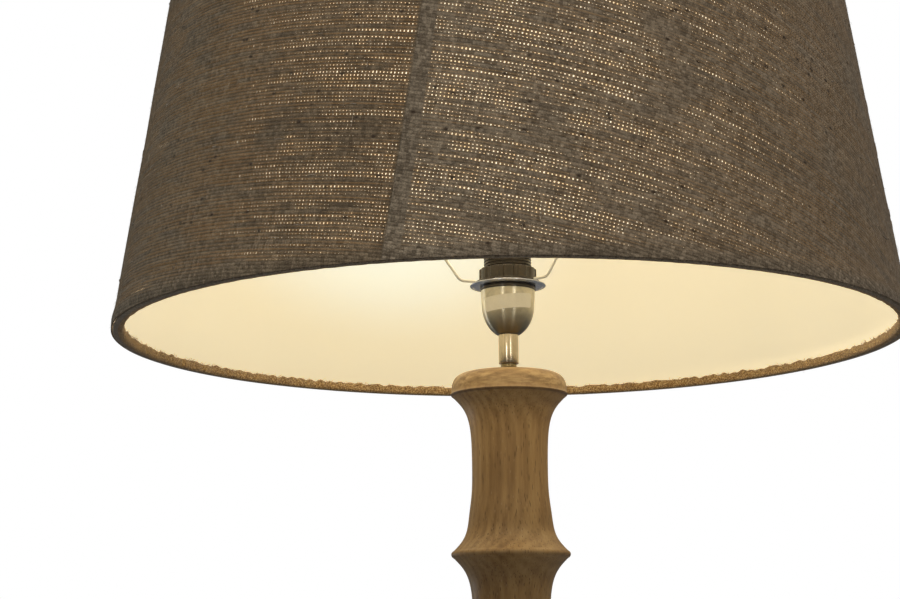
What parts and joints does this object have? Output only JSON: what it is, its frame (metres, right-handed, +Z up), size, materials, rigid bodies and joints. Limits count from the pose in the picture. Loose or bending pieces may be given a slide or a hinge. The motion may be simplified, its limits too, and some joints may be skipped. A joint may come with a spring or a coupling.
{
  "type": "table lamp",
  "caption": "Table lamp with a turned wooden column and foot, a screw lampholder with bulb, and a wide conical dark linen shade on a wire carrier.",
  "frame": {"origin": "centre of the felt pad's underside, on the surface that the lamp stands on", "axes": "+Z up along the lamp's axis; -Y towards the front, where the label is; +X to the right seen from the front"},
  "size_m": [0.65, 0.65, 0.84],
  "materials": {
    "felt": "matt pressed felt",
    "wood": "oiled turned hardwood, fine vertical grain with dark pores",
    "ballast_iron": "rough casting with dark paint",
    "zinc_steel": "zinc plated",
    "grommet_rubber": "matt moulded rubber",
    "antique_metal": "satin antique plating",
    "satin_nickel": "satin nickel plating",
    "label_paper": "satin sticker, left blank",
    "insert_ceramic": "unglazed porcelain",
    "contact_brass": "bright pressed brass",
    "brown_plastic": "satin dark brown phenolic moulding",
    "plate_steel": "satin zinc plated pressing",
    "cream_enamel": "cream coated steel wire",
    "linen": "coarse slubby plain weave, dark grey-brown",
    "lining": "smooth cream translucent laminate",
    "bulb_insulator": "black glass bead",
    "bulb_glass": "opal glass, lit warm white"
  },
  "bodies": {
    "stand": {"felt_pad": "felt", "wood_foot": "wood", "wood_column": "wood", "ballast_plate": "ballast_iron", "ballast_screw_1": "zinc_steel", "ballast_screw_2": "zinc_steel", "ballast_screw_3": "zinc_steel", "cord_grommet": "grommet_rubber", "threaded_rod": "zinc_steel", "base_washer": "zinc_steel", "base_nut": "zinc_steel", "neck_collar": "antique_metal", "neck_tube": "satin_nickel", "lampholder_cup": "antique_metal", "cup_nut": "zinc_steel", "rating_label": "label_paper", "lampholder_insert": "insert_ceramic", "terminal_screw_1": "contact_brass", "terminal_screw_2": "contact_brass", "centre_contact": "contact_brass", "contact_shell": "contact_brass", "lampholder_skirt": "brown_plastic"},
    "shade": {"shade_cover": "linen", "shade_lining": "lining", "rim_hem": "linen", "top_hem": "linen", "shade_rim_hoop": "cream_enamel", "shade_top_hoop": "cream_enamel", "carrier_arm_1": "cream_enamel", "carrier_arm_2": "cream_enamel", "carrier_arm_3": "cream_enamel", "carrier_plate": "plate_steel"},
    "ring_nut": {"shade_ring_nut": "brown_plastic"},
    "bulb": {"bulb_contact": "contact_brass", "bulb_insulator": "bulb_insulator", "bulb_cap": "satin_nickel", "bulb_globe": "bulb_glass"}
  },
  "joints": [
    {"name": "shade_turn", "type": "hinge", "parent": "stand", "child": "shade", "pos_m": [0, 0, 0.5259], "axis": [0, 0, 1], "continuous": true},
    {"name": "ring_nut_turn", "type": "hinge", "parent": "stand", "child": "ring_nut", "pos_m": [0, 0, 0.5278], "axis": [0, 0, 1], "range_deg": [0, 3600]},
    {"name": "bulb_turn", "type": "hinge", "parent": "stand", "child": "bulb", "pos_m": [0, 0, 0.5241], "axis": [0, 0, 1], "range_deg": [0, 1620]}
  ]
}
